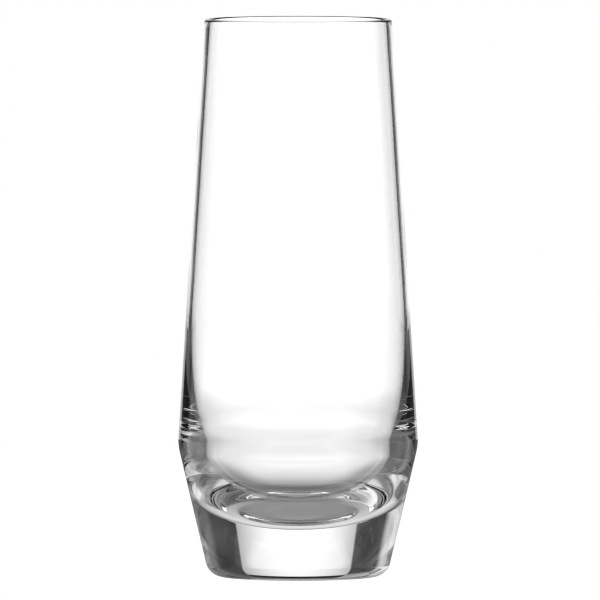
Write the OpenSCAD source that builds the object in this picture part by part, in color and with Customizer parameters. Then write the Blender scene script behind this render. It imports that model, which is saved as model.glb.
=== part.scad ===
// Juice glass: a tall, straight tumbler that widens downwards to a rounded shoulder,
// then tapers in to a heavy foot of solid glass.
// It is blown and pressed as one piece of clear glass, so the model is one solid:
// a single wall section turned once round the axis.
// Millimetres. +Z is up, and the origin is the centre of the foot, on the table.

/* [Glass] */
// Height from the table to the top of the rim
glass_h = 140; // [115:1:165]

/* [Rim] */
// Outside diameter of the wall, carried straight up to the top of the rim
rim_d = 47.1; // [42:0.2:54]
// Thickness of the upper wall
wall_t = 1.45; // [1:0.05:2.4]

/* [Shoulder] */
// Outside diameter where wall and foot would meet in a sharp corner
shoulder_d = 60.4; // [57:0.2:68]
// Height of that corner above the table
shoulder_z = 33.3; // [28:0.2:42]
// Radius that rounds the corner
shoulder_r = 15; // [4:0.5:30]

/* [Foot] */
// Diameter at the table, where the side of the foot would meet it in a sharp corner
foot_d = 44.7; // [38:0.2:52]
// Radius that rounds the lower edge of the foot
foot_edge_r = 4.3; // [2:0.1:6]
// Width of the flat ring that the glass stands on
ring_w = 1.6; // [0.8:0.1:4]
// Depth of the shallow hollow inside that ring
hollow_h = 0.3; // [0.2:0.05:1.2]

/* [Bowl] */
// Thickness of the solid glass under the bowl
base_t = 14.1; // [9:0.1:18]
// Height above which the inside runs parallel to the outside
bowl_top_z = 70; // [62:1:90]
// How far down its side the bowl is drawn straight on by the wall, of the bowl's depth
bowl_side_share = 0.77; // [0.5:0.01:0.9]
// How far out its floor is drawn level, of the inside radius there
bowl_floor_share = 0.64; // [0.3:0.01:0.8]

/* [Hidden] */
$fn = 180;

// Steps along each curve of the section
lip_steps = 12;
shoulder_steps = 10;
foot_steps = 12;
hollow_steps = 6;
bowl_steps = 36;

// Horizontal run of each side for one unit of rise
wall_slope = (shoulder_d - rim_d) / 2 / (glass_h - shoulder_z);
foot_slope = (shoulder_d - foot_d) / 2 / shoulder_z;
// Lean of the wall from upright, in degrees
wall_lean = atan(wall_slope);
// The lip is a half round as thick as the wall, centred on it
lip_r = wall_t / 2;
lip_z = glass_h - lip_r;
// Height at which the wall's line stops drawing the bowl's side
bowl_side_z = bowl_top_z - bowl_side_share * (bowl_top_z - base_t);

// Outside radius of the straight wall at height z
function outside_r(z) = rim_d / 2 + (glass_h - z) * wall_slope;
// Inside radius of the straight wall at height z, with wall_t measured square to the wall
function inside_r(z) = outside_r(z) - wall_t / cos(wall_lean);

function unit(v) = v / norm(v);

// Arc of radius r in place of corner b, between the legs to a and to c
function round_corner(a, b, c, r, steps) =
    let (
        u = unit(a - b),
        v = unit(c - b),
        half = acos(u * v) / 2,
        centre = b + unit(u + v) * r / sin(half),
        start = b + u * r / tan(half) - centre,
        from = atan2(start[1], start[0]),
        sweep = sign(u[0] * v[1] - u[1] * v[0]) * (180 - 2 * half)
    )
    [for (i = [0 : steps]) centre + r * [cos(from - sweep * i / steps), sin(from - sweep * i / steps)]];

// Cubic curve from a to d that leaves towards b and arrives from c
function cubic(a, b, c, d, steps) =
    [for (i = [0 : steps])
        let (t = i / steps, s = 1 - t)
        s ^ 3 * a + 3 * s ^ 2 * t * b + 3 * s * t ^ 2 * c + t ^ 3 * d];

// Half round over the rim, from the outside wall to the inside wall
function lip() =
    let (centre = [outside_r(lip_z) - lip_r / cos(wall_lean), lip_z])
    [for (i = [0 : lip_steps])
        let (turn = wall_lean + 180 * i / lip_steps)
        centre + lip_r * [cos(turn), sin(turn)]];

// Inside of the bowl, from the parallel wall down to the middle of its floor
function bowl() =
    cubic([inside_r(bowl_top_z), bowl_top_z], [inside_r(bowl_side_z), bowl_side_z],
          [bowl_floor_share * inside_r(base_t), base_t], [0, base_t], bowl_steps);

// Underside, from the middle of the hollow out to the ring, as part of a sphere
function hollow() =
    let (
        rest_r = foot_d / 2 - foot_edge_r / tan(45 + atan(foot_slope) / 2) - ring_w,
        cap_r = (rest_r ^ 2 + hollow_h ^ 2) / 2 / hollow_h
    )
    [for (i = [0 : hollow_steps])
        let (r = rest_r * i / hollow_steps)
        [r, sqrt(cap_r ^ 2 - r ^ 2) - cap_r + hollow_h]];

// Rounded lower edge of the foot, from the table up to the tapered side
function foot_edge() =
    round_corner([0, 0], [foot_d / 2, 0], [shoulder_d / 2, shoulder_z], foot_edge_r, foot_steps);

// Rounded shoulder, from the foot's side to the wall
function shoulder() =
    round_corner([foot_d / 2, 0], [shoulder_d / 2, shoulder_z], [rim_d / 2, glass_h],
                 shoulder_r, shoulder_steps);

// Whole section, once round its border
function section() = concat(hollow(), foot_edge(), shoulder(), lip(), bowl());

module tumbler() {
    color([0.93, 0.96, 0.96, 0.4])
        rotate_extrude()
            polygon(section());
}

tumbler();
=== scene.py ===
"""A juice glass of clear crystal, standing in a photographer's set for glassware.

The glass is one surface of revolution. Its section is the border of the glass in the
half-plane of radius and height, built from straight sides, arcs and one cubic curve, and
the surface carries that section once round the axis. The set is a plain pale floor and a
light tent that only the glass sees: a bright panel behind it, black flags on both sides of
the panel, a soft light on the left and dim cloth on the right, so that the light draws the
edges of the glass as it does in a studio. The tent's floor carries painted light and shade
round the foot, the foot's painted shadow among them, which also only the glass sees.
"""
import math

import bpy
import numpy as np
from bpy.props import FloatProperty, FloatVectorProperty, IntProperty, PointerProperty
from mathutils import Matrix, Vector


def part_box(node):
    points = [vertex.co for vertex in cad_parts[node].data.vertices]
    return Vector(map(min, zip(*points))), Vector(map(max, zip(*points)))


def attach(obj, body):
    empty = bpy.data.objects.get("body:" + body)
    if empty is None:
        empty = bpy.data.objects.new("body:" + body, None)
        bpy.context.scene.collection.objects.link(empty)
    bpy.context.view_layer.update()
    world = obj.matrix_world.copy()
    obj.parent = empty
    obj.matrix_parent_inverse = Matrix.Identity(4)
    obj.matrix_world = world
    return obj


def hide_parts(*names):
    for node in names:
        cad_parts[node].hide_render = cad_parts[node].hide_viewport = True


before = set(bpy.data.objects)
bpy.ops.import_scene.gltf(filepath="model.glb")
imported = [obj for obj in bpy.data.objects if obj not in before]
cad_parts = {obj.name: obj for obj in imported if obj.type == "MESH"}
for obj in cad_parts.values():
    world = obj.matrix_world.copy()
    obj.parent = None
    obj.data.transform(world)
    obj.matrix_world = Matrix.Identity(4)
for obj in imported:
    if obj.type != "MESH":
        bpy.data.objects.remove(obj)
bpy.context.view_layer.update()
RIM_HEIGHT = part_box("tumbler")[1][2]
MM = 0.001

# Steps along each round stretch of the section.
HOLLOW_STEPS = 24
FOOT_STEPS = 32
SHOULDER_STEPS = 24
LIP_STEPS = 24
BOWL_STEPS = 120

# Length in which a wave texture of scale 1 repeats.
WAVE_LENGTH = math.pi / 10

# Glass surfaces that a look through both walls passes, and the most that light may meet.
BOTH_WALLS = 4
MOST_SURFACES = 12

# Ramps of the tent's wall. Each card gives way to the next one on its right within so many
# degrees on both sides of their common edge, from the left front round to the right front.
# Each level gives way to the next one above it between two heights, and so does the panel's
# foot to the panel.
CARD_SOFTNESS = np.radians([8, 8, 4, 0.5, 0.5, 4, 8])
PANEL_CARD = 4
WALL_RAMPS = np.array([[130, 145], [350, 390], [540, 590]]) * MM
PANEL_FOOT_RAMP = np.array([122, 130]) * MM

# Ramps of the tent's floor, whose levels are painted light and shade: from the painted shade
# under the foot outwards to the last level, and from the floor in front round by the left,
# the back and the right to the front again.
FLOOR_RAMPS = np.array([[19, 21.5], [24, 30], [30, 50], [50, 80], [80, 150]]) * MM
FLOOR_TURNS = np.radians([[-138, -118], [-72, -52], [-38, -26], [26, 38], [52, 72], [118, 138]])

# Ramps of the backdrop on that floor: from nearby to far, from the floor with painted light
# and shade to the open floor, and from the full side shade to none. On both sides the side
# shade sets in between the first two of its bearings and ends between the last two.
BACKDROP_RAMP = np.array([122, 182]) * MM
OPEN_FLOOR_RAMP = np.array([190, 250]) * MM
SIDE_SHADE_RAMP = np.array([60, 100]) * MM
SIDE_SHADE_TURNS = np.radians([16, 30, 50, 75])

# Least share of its light that the foot's shadow leaves to the backdrop.
LEAST_LIGHT = 0.05

# Ramp of the tent's roof from its middle to its sides, in shares of the tent's radius.
ROOF_RAMP = np.array([0.55, 0.67])

# Steps round the axis of the tent's wall, floor and roof, and the rows of its floor between
# the shadow and the open floor.
WALL_STEP = math.radians(0.25)
FLOOR_STEP = math.radians(0.5)
ROOF_STEP = math.radians(1)
FLOOR_ROWS = 60

# The round floor under all of it: its step round the axis and its reach. Both it and the
# tent's floor lie a little below the foot.
GROUND_STEP = math.radians(5.625)
GROUND_REACH = 12.0
GROUND_DROP = 0.2 * MM
TENT_DROP = 0.1 * MM

bl_info = {
    "name": "Juice Glass",
    "version": (1, 0, 0),
    "blender": (4, 5, 0),
    "location": "View3D > Sidebar > Juice Glass",
    "description": "Builds a clear juice glass and the set that it is photographed in",
    "category": "Add Mesh",
}


def length(name, description, default):
    """A property for a length in metres."""
    return FloatProperty(
        name=name, description=description, default=default, min=0.0, unit="LENGTH", precision=5)


def angle(name, description, degrees):
    """A property for an angle, given in degrees and kept in radians."""
    return FloatProperty(
        name=name, description=description, default=math.radians(degrees), unit="ROTATION")


def share(name, description, default):
    """A property for a share of something, from none to all of it."""
    return FloatProperty(name=name, description=description, default=default, min=0.0, max=1.0)


def glow(name, description, levels):
    """A property for the brightness of one part of the tent at each of its levels."""
    return FloatVectorProperty(
        name=name, description=description, size=len(levels), min=0.0, default=levels)


class GlassSizes(bpy.types.PropertyGroup):
    """Sizes of the glass, as in the solid model."""

    height: length("Height", "From the table to the top of the rim", RIM_HEIGHT)
    rim_width: length("Rim width", "Outside diameter of the wall at the top of the rim", 47.1 * MM)
    wall: length("Wall", "Thickness of the upper wall", 1.45 * MM)
    shoulder_width: length("Shoulder width", "Diameter where the lines of wall and foot cross", 60.4 * MM)
    shoulder_height: length("Shoulder height", "Height where the lines of wall and foot cross", 33.3 * MM)
    shoulder_round: length("Shoulder radius", "Radius that rounds the shoulder", 15 * MM)
    foot_width: length("Foot width", "Diameter where the line of the foot's side meets the table", 44.7 * MM)
    foot_round: length("Foot radius", "Radius that rounds the lower edge of the foot", 4.3 * MM)
    ring_width: length("Ring width", "Width of the flat ring that the glass stands on", 1.6 * MM)
    hollow: length("Hollow", "Depth of the hollow inside the ring", 0.3 * MM)
    base: length("Base", "Thickness of the solid glass under the bowl", 14.1 * MM)
    bowl_top: length("Bowl top", "Height above which the inside runs parallel to the outside", 70 * MM)
    bowl_side: share("Bowl side", "How far down the wall's line draws the bowl, of the bowl's depth", 0.77)
    bowl_floor: share("Bowl floor", "How far out the bowl is drawn level, of the inside radius", 0.64)
    grain: length("Grain", "Longest face along the section", 1.3 * MM)
    turns: IntProperty(name="Faces round", description="Faces once round the glass", default=256, min=64)


class GlassFinish(bpy.types.PropertyGroup):
    """Finish of the glass."""

    tint: FloatVectorProperty(
        name="Tint", description="Colour that the glass leaves in the light where its tint is deepest",
        subtype="COLOR", size=3, min=0.0, max=1.0, default=(0.985, 0.985, 0.985))
    index: FloatProperty(name="Index", description="Refractive index of the crystal", default=1.50)
    ripple_size: length("Ripple size", "Width of one swell of the skin's slow ripple", 14 * MM)
    ripple_depth: length("Ripple depth", "Height of that ripple", 0.03 * MM)
    ring_size: length("Ring size", "Width of one of the faint rings in foot and bowl", 3 * MM)
    ring_depth: length("Ring depth", "Height of those rings", 0.006 * MM)
    ring_top: length("Ring top", "Height above the table where the rings have faded out", 32 * MM)


class StudioCamera(bpy.types.PropertyGroup):
    """Where the camera stands and what it frames."""

    distance: length("Distance", "From the lens to the middle of the picture", 4.35)
    rise: angle("Rise", "Angle by which the camera looks down", 2.82)
    picture_width: length("Picture width", "Width of what the camera sees at the glass", 150.6 * MM)
    picture_middle: length("Picture middle", "Height of the middle of the picture", 69.4 * MM)
    picture_offset: FloatProperty(
        name="Picture offset", description="How far the middle of the picture lies right of the axis",
        default=0.48 * MM, unit="LENGTH", precision=5)
    pixel_filter: FloatProperty(
        name="Pixel filter", description="Width, in pixels, in which the picture blends its samples",
        default=1.2, min=0.5)


WALL_LEVELS = "Brightness low down, at middle height, high up and at the top"
# Levels of the painted light and shade on the tent's floor round the foot.
FLOOR_LEVELS = "Brightness close to the foot, a little further out, at middle reach and far out"


class LightTent(bpy.types.PropertyGroup):
    """Tent round the glass. Bearings run clockwise from straight behind the glass, seen from above.

    The levels began as the result of a scratch program that fitted the tent's light to the
    photograph's brightness, and the edges and ramps were picked by comparing such fits. All
    were rounded, and some were then changed after renders.
    """

    radius: length("Radius", "From the axis of the glass to the tent's wall", 600 * MM)
    height: length("Height", "From the floor to the tent's roof", 860 * MM)
    panel_left: angle("Panel's left edge", "Bearing on the left where the bright panel ends", 24)
    panel_right: angle("Panel's right edge", "Bearing on the right where the bright panel ends", 26)
    panel_falloff: angle("Panel falloff", "Bearing at which the panel is down to three fifths", 20)
    foot_edge: angle("Edge of the panel's foot", "Bearing on both sides where the panel's foot ends", 26)
    foot_falloff: angle("Falloff of the panel's foot", "Bearing where it would be down to three fifths", 28)
    flag_edge: angle("Flag edge", "Bearing on both sides where the flags end", 50)
    wing_edge: angle("Wing edge", "Bearing on the left where the grey wing gives way to the soft light", 90)
    light_edge: angle("Light edge", "Bearing on the left where the soft light ends", 135)
    cloth_edge: angle("Cloth edge", "Bearing on the right where the dim cloth ends", 120)
    panel: glow("Panel", WALL_LEVELS, (1.1, 1.05, 0.0, 0.2))
    left_flag: glow("Left flag", WALL_LEVELS, (0.06, 0.04, 0.3, 0.45))
    left_wing: glow("Left wing", WALL_LEVELS, (0.6, 0.7, 0.45, 0.4))
    left_light: glow("Left light", WALL_LEVELS, (1.0, 0.9, 0.7, 0.3))
    left_front: glow("Left front", WALL_LEVELS, (0.5, 0.25, 0.3, 0.25))
    right_flag: glow("Right flag", WALL_LEVELS, (0.08, 0.03, 0.07, 0.12))
    right_cloth: glow("Right cloth", WALL_LEVELS, (0.2, 0.13, 0.1, 0.05))
    right_front: glow("Right front", WALL_LEVELS, (0.25, 0.2, 0.4, 0.15))
    # The floor's levels below, with the shade and foot shade, are painted light and shade that only the
    # glass sees: the floor round the foot lit and shaded, and the foot's painted shadow under it and round
    # its edge.
    panel_floor: glow("Floor before the panel", FLOOR_LEVELS, (0.75, 0.6, 0.35, 0.2))
    flag_floor: glow("Floor before the flags", FLOOR_LEVELS, (0.3, 0.22, 0.15, 0.05))
    left_floor: glow("Floor on the left", FLOOR_LEVELS, (0.04, 0.55, 0.1, 1.0))
    right_floor: glow("Floor on the right", FLOOR_LEVELS, (0.35, 0.2, 0.12, 0.05))
    front_floor: glow("Floor in front", FLOOR_LEVELS, (0.7, 1.8, 1.8, 0.2))
    shade: glow("Shade", "Brightness under the foot, at the back and at the front", (0.2, 0.22))
    foot_shade: glow("Foot shade", "Brightness round the foot's edge, at the back and front", (0.65, 0.1))
    roof: glow("Roof", "Brightness of the roof's middle, and of its left and right sides", (0.0, 0.2, 0.3))
    backdrop: glow(
        "Backdrop", "Brightness of what shows straight through the clear walls, nearby and far off",
        (0.955, 1.25))
    shadow_edge: length("Shadow edge", "Reach where the soft shadow round the foot is darkest", 25 * MM)
    shadow_reach: length("Shadow reach", "Distance in which that shadow falls to a third", 22 * MM)
    side_shade: share("Side shade", "Share of its light that the near backdrop lacks before the flags", 0.4)


def round_corner(before, corner, after, radius, steps):
    """Arc of that radius in place of a corner.

    Its centre lies on the corner's bisector at radius over the sine of half the corner,
    and its points turn evenly from the tangent point on one side to that on the other.
    """
    before, corner, after = map(np.asarray, (before, corner, after))
    back = (before - corner) / np.linalg.norm(before - corner)
    ahead = (after - corner) / np.linalg.norm(after - corner)
    half = math.acos(back @ ahead) / 2
    bisector = (back + ahead) / np.linalg.norm(back + ahead)
    centre = corner + bisector * radius / math.sin(half)
    start = corner + back * radius / math.tan(half) - centre
    turn = math.copysign(math.pi - 2 * half, back[0] * ahead[1] - back[1] * ahead[0])
    bearing = math.atan2(start[1], start[0]) - turn * np.linspace(0, 1, steps + 1)
    return centre + radius * np.column_stack([np.cos(bearing), np.sin(bearing)])


def cubic(start, leaving, arriving, end, steps):
    """Cubic curve: four points weighted by (1-t)^3, 3 t (1-t)^2, 3 t^2 (1-t) and t^3."""
    t = np.linspace(0, 1, steps + 1)[:, None]
    weights = np.hstack([(1 - t) ** 3, 3 * t * (1 - t) ** 2, 3 * t ** 2 * (1 - t), t ** 3])
    return weights @ np.array([start, leaving, arriving, end])


def even_steps(points, grain):
    """Splits each side of the section into equal steps no longer than grain.

    A side of length s gets s / grain steps, rounded up, and step k starts at k steps along.
    """
    side = np.diff(points, axis=0)
    count = np.maximum(np.ceil(np.linalg.norm(side, axis=1) / grain).astype(int), 1)
    start = np.repeat(points[:-1], count, axis=0)
    stride = np.repeat(side / count[:, None], count, axis=0)
    place = np.arange(count.sum()) - np.repeat(np.cumsum(count) - count, count)
    return np.vstack([start + place[:, None] * stride, points[-1:]])


def glass_section(size):
    """Points (radius, height) along the border of the glass, from under the foot to the bowl.

    The hollow, of half width a and depth h, is an arc with the radius (a^2 + h^2) / 2h. The
    outside is the straight sides of foot and wall with their corners rounded, and the lip is
    half a circle as wide as the wall. The upper inside runs parallel to the outside, and the
    bowl is a cubic curve that leaves it along its line and meets the axis level.
    """
    slope = (size.shoulder_width - size.rim_width) / 2 / (size.height - size.shoulder_height)
    lean = math.atan(slope)
    foot_lean = math.atan((size.shoulder_width - size.foot_width) / 2 / size.shoulder_height)
    foot = (size.foot_width / 2, 0.0)
    shoulder = (size.shoulder_width / 2, size.shoulder_height)
    rim = (size.rim_width / 2, size.height)

    def outside(height):
        return size.rim_width / 2 + (size.height - height) * slope

    def inside(height):
        return outside(height) - size.wall / math.cos(lean)

    rest = (size.foot_width / 2 - size.foot_round / math.tan(math.pi / 4 + foot_lean / 2)
            - size.ring_width)
    cap = (rest ** 2 + size.hollow ** 2) / 2 / size.hollow
    r = np.linspace(0, rest, HOLLOW_STEPS + 1)
    hollow = np.column_stack([r, np.sqrt(cap ** 2 - r ** 2) - cap + size.hollow])

    lip_radius = size.wall / 2
    lip_height = size.height - lip_radius
    over = lean + np.linspace(0, math.pi, LIP_STEPS + 1)
    lip = np.column_stack([
        outside(lip_height) - lip_radius / math.cos(lean) + lip_radius * np.cos(over),
        lip_height + lip_radius * np.sin(over)])

    side = size.bowl_top - size.bowl_side * (size.bowl_top - size.base)
    bowl = cubic((inside(size.bowl_top), size.bowl_top), (inside(side), side),
                 (size.bowl_floor * inside(size.base), size.base), (0.0, size.base), BOWL_STEPS)
    parts = [
        hollow,
        round_corner((0.0, 0.0), foot, shoulder, size.foot_round, FOOT_STEPS),
        round_corner(foot, shoulder, rim, size.shoulder_round, SHOULDER_STEPS),
        lip,
        bowl,
    ]
    return even_steps(np.vstack(parts), size.grain)


def turned_surface(name, section, turns):
    """Closed mesh whose point at place u and bearing v is (r(u) cos v, r(u) sin v, z(u)).

    The two ends of the section are on the axis and are single points, joined by fans.
    """
    ring = section[1:-1]
    v = np.arange(turns) * 2 * math.pi / turns
    points = np.stack([
        np.outer(ring[:, 0], np.cos(v)),
        np.outer(ring[:, 0], np.sin(v)),
        np.repeat(ring[:, 1:], turns, axis=1)], axis=2).reshape(-1, 3)
    poles = [(0.0, 0.0, section[0, 1]), (0.0, 0.0, section[-1, 1])]
    low, high = len(points), len(points) + 1
    row = np.arange(len(ring) - 1)[:, None] * turns
    here = np.arange(turns)
    beside = np.roll(here, -1)
    quads = np.stack([row + here, row + beside, row + turns + beside, row + turns + here], axis=2)
    last = (len(ring) - 1) * turns
    under = np.column_stack([beside, here, np.full(turns, low)])
    over = np.column_stack([last + here, last + beside, np.full(turns, high)])
    mesh = bpy.data.meshes.new(name)
    mesh.from_pydata(np.vstack([points, poles]), [],
                     quads.reshape(-1, 4).tolist() + under.tolist() + over.tolist())
    mesh.polygons.foreach_set("use_smooth", np.ones(len(mesh.polygons), dtype=bool))
    mesh.update()
    piece = bpy.data.objects.new(name, mesh)
    bpy.context.collection.objects.link(piece)
    return piece


def clear_glass(finish):
    """Fire-polished crystal, clear, with what the making leaves in its skin.

    A slow ripple lies over the whole skin. Faint rings round the axis, from the plunger and
    the mould, lie in the floor of the bowl and in the foot and fade out in the upper half of
    their reach. The tint changes by a hair from place to place.
    """
    material = bpy.data.materials.new("clear_glass")
    material.use_nodes = True
    nodes, links = material.node_tree.nodes, material.node_tree.links
    shader = nodes["Principled BSDF"]
    shader.inputs["Transmission Weight"].default_value = 1.0
    shader.inputs["IOR"].default_value = finish.index
    shader.inputs["Roughness"].default_value = 0.0
    place = nodes.new("ShaderNodeTexCoord").outputs["Object"]

    ripple = nodes.new("ShaderNodeTexNoise")
    ripple.inputs["Scale"].default_value = 1 / finish.ripple_size
    ripple.inputs["Detail"].default_value = 1.0
    links.new(place, ripple.inputs["Vector"])
    skin = nodes.new("ShaderNodeBump")
    skin.inputs["Distance"].default_value = finish.ripple_depth
    links.new(ripple.outputs["Fac"], skin.inputs["Height"])

    rings = nodes.new("ShaderNodeTexWave")
    rings.wave_type = "RINGS"
    rings.rings_direction = "Z"
    rings.inputs["Scale"].default_value = WAVE_LENGTH / finish.ring_size
    rings.inputs["Distortion"].default_value = 1.5
    rings.inputs["Detail"].default_value = 1.0
    rings.inputs["Detail Scale"].default_value = 0.3
    links.new(place, rings.inputs["Vector"])
    split = nodes.new("ShaderNodeSeparateXYZ")
    links.new(place, split.inputs["Vector"])
    fade = nodes.new("ShaderNodeMapRange")
    fade.inputs["From Min"].default_value = finish.ring_top / 2
    fade.inputs["From Max"].default_value = finish.ring_top
    fade.inputs["To Min"].default_value = 1.0
    fade.inputs["To Max"].default_value = 0.0
    links.new(split.outputs["Z"], fade.inputs["Value"])
    tool_marks = nodes.new("ShaderNodeBump")
    tool_marks.inputs["Distance"].default_value = finish.ring_depth
    links.new(fade.outputs["Result"], tool_marks.inputs["Strength"])
    links.new(rings.outputs["Fac"], tool_marks.inputs["Height"])
    links.new(skin.outputs["Normal"], tool_marks.inputs["Normal"])
    links.new(tool_marks.outputs["Normal"], shader.inputs["Normal"])

    tint = nodes.new("ShaderNodeMix")
    tint.data_type = "RGBA"
    links.new(ripple.outputs["Fac"], tint.inputs["Factor"])
    tint.inputs["A"].default_value = (*finish.tint, 1.0)
    tint.inputs["B"].default_value = (1.0, 1.0, 1.0, 1.0)
    links.new(tint.outputs["Result"], shader.inputs["Base Color"])
    return material


class JUICEGLASS_OT_tumbler(bpy.types.Operator):
    """Make the glass from its section and give it its clear finish"""

    bl_idname = "juice_glass.tumbler"
    bl_label = "Juice glass"

    def execute(self, context):
        size = context.scene.glass_sizes
        piece = turned_surface("tumbler_glass", glass_section(size), size.turns)
        piece.data.materials.append(clear_glass(context.scene.glass_finish))
        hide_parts("tumbler")
        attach(piece, "root")
        return {"FINISHED"}


def glowing(name, cards=False):
    """Material that shines evenly, or, for the tent, as brightly as its mesh says at each point.

    A look that passes both walls of the glass without a reflection meets the plain backdrop
    instead of the cards, and so does one through the mouth and one wall that comes down on
    the open floor, so that the clear walls stay clear from every side.
    """
    material = bpy.data.materials.new(name)
    material.use_nodes = True
    nodes, links = material.node_tree.nodes, material.node_tree.links
    nodes.clear()
    shine = nodes.new("ShaderNodeEmission")
    if cards:
        light = nodes.new("ShaderNodeLightPath")
        direct = combine(nodes, links, "LESS_THAN", light.outputs["Glossy Depth"], 0.5)
        passed = light.outputs["Transmission Depth"]
        both_walls = combine(nodes, links, "GREATER_THAN", passed, BOTH_WALLS - 0.5)
        clear = combine(nodes, links, "MAXIMUM", both_walls, mesh_value(nodes, "open_floor"))
        level = nodes.new("ShaderNodeMix")
        links.new(combine(nodes, links, "MULTIPLY", direct, clear), level.inputs["Factor"])
        links.new(mesh_value(nodes, "brightness"), level.inputs["A"])
        links.new(mesh_value(nodes, "backdrop"), level.inputs["B"])
        links.new(level.outputs["Result"], shine.inputs["Strength"])
    out = nodes.new("ShaderNodeOutputMaterial")
    links.new(shine.outputs["Emission"], out.inputs["Surface"])
    return material


def combine(nodes, links, operation, first, second):
    """Output of a Math node that works on one socket and another socket or number."""
    maths = nodes.new("ShaderNodeMath")
    maths.operation = operation
    links.new(first, maths.inputs[0])
    if isinstance(second, float):
        maths.inputs[1].default_value = second
    else:
        links.new(second, maths.inputs[1])
    return maths.outputs[0]


def mesh_value(nodes, name):
    """Output that gives the mesh attribute of that name."""
    value = nodes.new("ShaderNodeAttribute")
    value.attribute_name = name
    return value.outputs["Fac"]


def around(bearing, reach):
    """Place (s sin b, s cos b) at bearing b, clockwise from straight behind the glass, and reach s."""
    return reach * np.sin(bearing), reach * np.cos(bearing)


def full_turn(step):
    """Bearings once round the glass and back to the first, straight in front of it."""
    return np.linspace(-math.pi, math.pi, round(2 * math.pi / step) + 1)


def sheet(name, x, y, z, material, **values):
    """Stage sheet through a grid of points, flat if z is one number.

    Each further array, or number for the whole sheet, becomes a mesh attribute.
    """
    rows, columns = x.shape
    points = np.stack([x, y, np.broadcast_to(z, x.shape)], axis=2).reshape(-1, 3)
    corner = (np.arange(rows - 1)[:, None] * columns + np.arange(columns - 1)).ravel()
    faces = np.column_stack([corner, corner + 1, corner + columns + 1, corner + columns])
    mesh = bpy.data.meshes.new(name)
    mesh.from_pydata(points, [], faces.tolist())
    mesh.materials.append(material)
    for key, value in values.items():
        held = mesh.attributes.new(key, "FLOAT", "POINT")
        held.data.foreach_set("value", np.broadcast_to(value, x.shape).astype(np.float32).ravel())
    made = bpy.data.objects.new(name, mesh)
    bpy.context.collection.objects.link(made)
    return made


def along(place, ramp):
    """How far each place is along a ramp, evenly from 0 at its start to 1 at its end."""
    start, end = ramp
    return np.clip((place - start) / (end - start), 0, 1)


def shares_of(place, ramps):
    """Share that each of several neighbours has at each place.

    Neighbour k gives way to the next one along ramp k, so that its share is how far the place
    is along the ramp before it less how far it is along its own.
    """
    passed = [np.ones(place.shape), *(along(place, ramp) for ramp in ramps), np.zeros(place.shape)]
    return -np.diff(np.stack(passed, axis=-1), axis=-1)


def wall_shares(tent, bearing, left, right, falloff):
    """Share of each of the wall's eight cards at each bearing, from left front round to right front.

    The bright panel ends sharply at the left and right bearings and is exp(-(bearing / falloff)^2 / 2)
    as bright as in its middle. All the other cards run softly into one another.
    """
    edges = np.array([-tent.light_edge, -tent.wing_edge, -tent.flag_edge, -left,
                      right, tent.flag_edge, tent.cloth_edge])
    shares = shares_of(bearing, np.column_stack([edges - CARD_SOFTNESS, edges + CARD_SOFTNESS]))
    shares[..., PANEL_CARD] *= np.exp(-0.5 * (bearing / falloff) ** 2)
    return shares


def tent_wall(tent, cloth):
    """Bent sheet whose point at bearing b and height h is (R sin b, R cos b, h).

    Its cards run evenly into one another at four levels. Near the floor the panel's wider
    foot takes the panel's place.
    """
    rows = np.unique([0, *PANEL_FOOT_RAMP, *WALL_RAMPS.ravel(), tent.height])
    bearing, height = np.meshgrid(full_turn(WALL_STEP), rows)
    above = along(height, PANEL_FOOT_RAMP)[..., None]
    shares = (
        (1 - above) * wall_shares(tent, bearing, tent.foot_edge, tent.foot_edge, tent.foot_falloff)
        + above * wall_shares(tent, bearing, tent.panel_left, tent.panel_right, tent.panel_falloff))
    cards = np.array([tent.left_front, tent.left_light, tent.left_wing, tent.left_flag,
                      tent.panel, tent.right_flag, tent.right_cloth, tent.right_front])
    brightness = (shares * (shares_of(height, WALL_RAMPS) @ cards.T)).sum(axis=2)
    return sheet("tent_wall", *around(bearing, tent.radius), height, cloth,
                 brightness=brightness, backdrop=tent.backdrop[1], open_floor=0.0)


def painted_floor_light_and_shade(tent, bearing, reach):
    """Painted light and shade of the tent's floor: how the glass sees the floor round the foot lit and
    shaded.

    The patches run evenly into one another, under the foot, round its edge and at four reaches
    further out. The two painted shades under and round the foot turn from back to front as the
    cosine of the bearing does.
    """
    cards = np.array([tent.front_floor, tent.left_floor, tent.flag_floor, tent.panel_floor,
                      tent.flag_floor, tent.right_floor, tent.front_floor])
    levels = shares_of(reach, FLOOR_RAMPS)
    brightness = (shares_of(bearing, FLOOR_TURNS) * (levels[..., 2:] @ cards.T)).sum(axis=2)
    front = (1 - np.cos(bearing)) / 2
    for level, (back, ahead) in enumerate((tent.shade, tent.foot_shade)):
        brightness += levels[..., level] * ((1 - front) * back + front * ahead)
    return brightness


def floor_backdrop(tent, bearing, reach):
    """Brightness of the backdrop on the floor.

    It is even, nearby and far off, but for a soft shade close by before both flags and for
    the foot's soft shadow, which takes away the share exp(-(s - edge) / reach) at reach s.
    """
    nearby, far = tent.backdrop
    lit = nearby + (far - nearby) * along(reach, BACKDROP_RAMP)
    aside = np.interp(np.abs(bearing), SIDE_SHADE_TURNS, [0, 1, 1, 0])
    shade = tent.side_shade * aside * (1 - along(reach, SIDE_SHADE_RAMP))
    shadow = np.exp(-(reach - tent.shadow_edge) / tent.shadow_reach)
    return lit * (1 - shade) * np.maximum(1 - shadow, LEAST_LIGHT)


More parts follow.
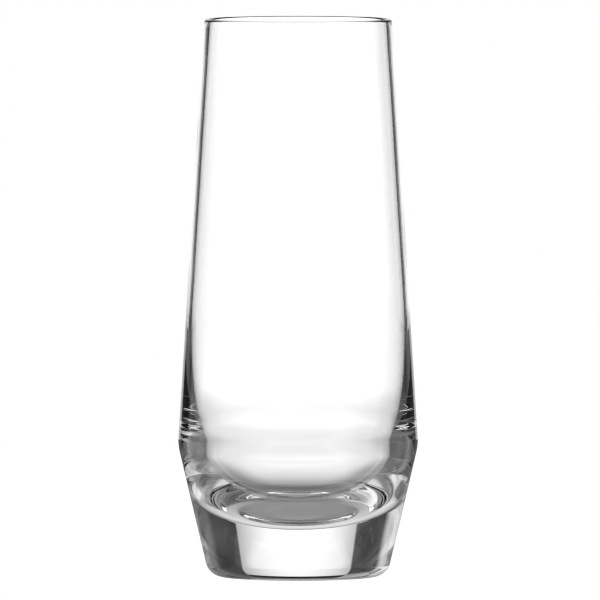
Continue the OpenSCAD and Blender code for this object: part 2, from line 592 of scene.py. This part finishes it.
def tent_floor(tent, cloth):
    """Level sheet whose point at bearing b and reach s is (s sin b, s cos b, just under the foot)."""
    beyond_shadow = np.geomspace(tent.shadow_edge, OPEN_FLOOR_RAMP[1], FLOOR_ROWS)
    rows = np.unique([0, *FLOOR_RAMPS[0], FLOOR_RAMPS[1, 0], *beyond_shadow, tent.radius])
    bearing, reach = np.meshgrid(full_turn(FLOOR_STEP), rows)
    return sheet("tent_floor", *around(bearing, reach), -TENT_DROP, cloth,
                 # Painted light and shade of the floor round the foot, and a backdrop that carries the
                 # foot's painted shadow.
                 brightness=painted_floor_light_and_shade(tent, bearing, reach),
                 backdrop=floor_backdrop(tent, bearing, reach),
                 open_floor=along(reach, OPEN_FLOOR_RAMP))


def tent_roof(tent, cloth):
    """Level sheet like the tent's floor, at the tent's height."""
    bearing, part = np.meshgrid(full_turn(ROOF_STEP), [0, *ROOF_RAMP, 1])
    rim = along(part, ROOF_RAMP)
    middle, left, right = tent.roof
    brightness = (1 - rim) * middle + rim * np.where(bearing > 0, right, left)
    return sheet("tent_roof", *around(bearing, part * tent.radius), tent.height, cloth,
                 brightness=brightness, backdrop=tent.backdrop[1], open_floor=0.0)


def white_world():
    """World that lights everything evenly and shows white."""
    world = bpy.data.worlds.new("backdrop")
    world.use_nodes = True
    background = world.node_tree.nodes["Background"]
    background.inputs["Color"].default_value = (1.0, 1.0, 1.0, 1.0)
    background.inputs["Strength"].default_value = 1.0
    return world


def studio_camera(view):
    """Camera that looks down at the glass by its rise, from its distance to the picture's middle."""
    camera = bpy.data.objects.new("camera", bpy.data.cameras.new("camera"))
    aim = Vector((view.picture_offset, 0.0, view.picture_middle))
    towards = Vector((0.0, math.cos(view.rise), -math.sin(view.rise)))
    camera.location = aim - towards * view.distance
    camera.rotation_euler = towards.to_track_quat("-Z", "Y").to_euler()
    camera.data.lens = camera.data.sensor_width * view.distance / view.picture_width
    return camera


class JUICEGLASS_OT_studio(bpy.types.Operator):
    """Set up the floor, the light tent, the backdrop and the camera"""

    bl_idname = "juice_glass.studio"
    bl_label = "Studio"

    def execute(self, context):
        scene = context.scene
        scene.view_settings.view_transform = "Standard"
        scene.cycles.max_bounces = MOST_SURFACES
        scene.cycles.transmission_bounces = MOST_SURFACES
        scene.cycles.glossy_bounces = MOST_SURFACES
        scene.cycles.filter_width = scene.studio_camera.pixel_filter
        scene.world = white_world()
        bearing, reach = np.meshgrid(full_turn(GROUND_STEP), [0, GROUND_REACH])
        sheet("floor", *around(bearing, reach), -GROUND_DROP, glowing("floor"))
        cloth = glowing("tent", cards=True)
        for side in (tent_wall, tent_floor, tent_roof):
            side(scene.light_tent, cloth).visible_camera = False
        scene.camera = studio_camera(scene.studio_camera)
        scene.collection.objects.link(scene.camera)
        return {"FINISHED"}


class JUICEGLASS_PT_panel(bpy.types.Panel):
    """Panel with the sizes and the steps"""

    bl_idname = "JUICEGLASS_PT_panel"
    bl_label = "Juice Glass"
    bl_space_type = "VIEW_3D"
    bl_region_type = "UI"
    bl_category = "Juice Glass"

    def draw(self, context):
        scene = context.scene
        for group in (scene.glass_sizes, scene.glass_finish, scene.light_tent, scene.studio_camera):
            box = self.layout.box()
            for name in group.__annotations__:
                box.prop(group, name)
        for step in STEPS:
            self.layout.operator(step.bl_idname)


STEPS = (JUICEGLASS_OT_tumbler, JUICEGLASS_OT_studio)
CLASSES = (GlassSizes, GlassFinish, StudioCamera, LightTent, *STEPS, JUICEGLASS_PT_panel)


def register():
    """Make the classes known to Blender and give each scene its settings."""
    for cls in CLASSES:
        bpy.utils.register_class(cls)
    bpy.types.Scene.glass_sizes = PointerProperty(type=GlassSizes)
    bpy.types.Scene.glass_finish = PointerProperty(type=GlassFinish)
    bpy.types.Scene.studio_camera = PointerProperty(type=StudioCamera)
    bpy.types.Scene.light_tent = PointerProperty(type=LightTent)


def unregister():
    """Undo what register does."""
    del bpy.types.Scene.light_tent
    del bpy.types.Scene.studio_camera
    del bpy.types.Scene.glass_finish
    del bpy.types.Scene.glass_sizes
    for cls in reversed(CLASSES):
        bpy.utils.unregister_class(cls)


def main():
    """Build the glass and its set."""
    register()
    bpy.ops.juice_glass.tumbler()
    bpy.ops.juice_glass.studio()


if __name__ == "__main__":
    main()
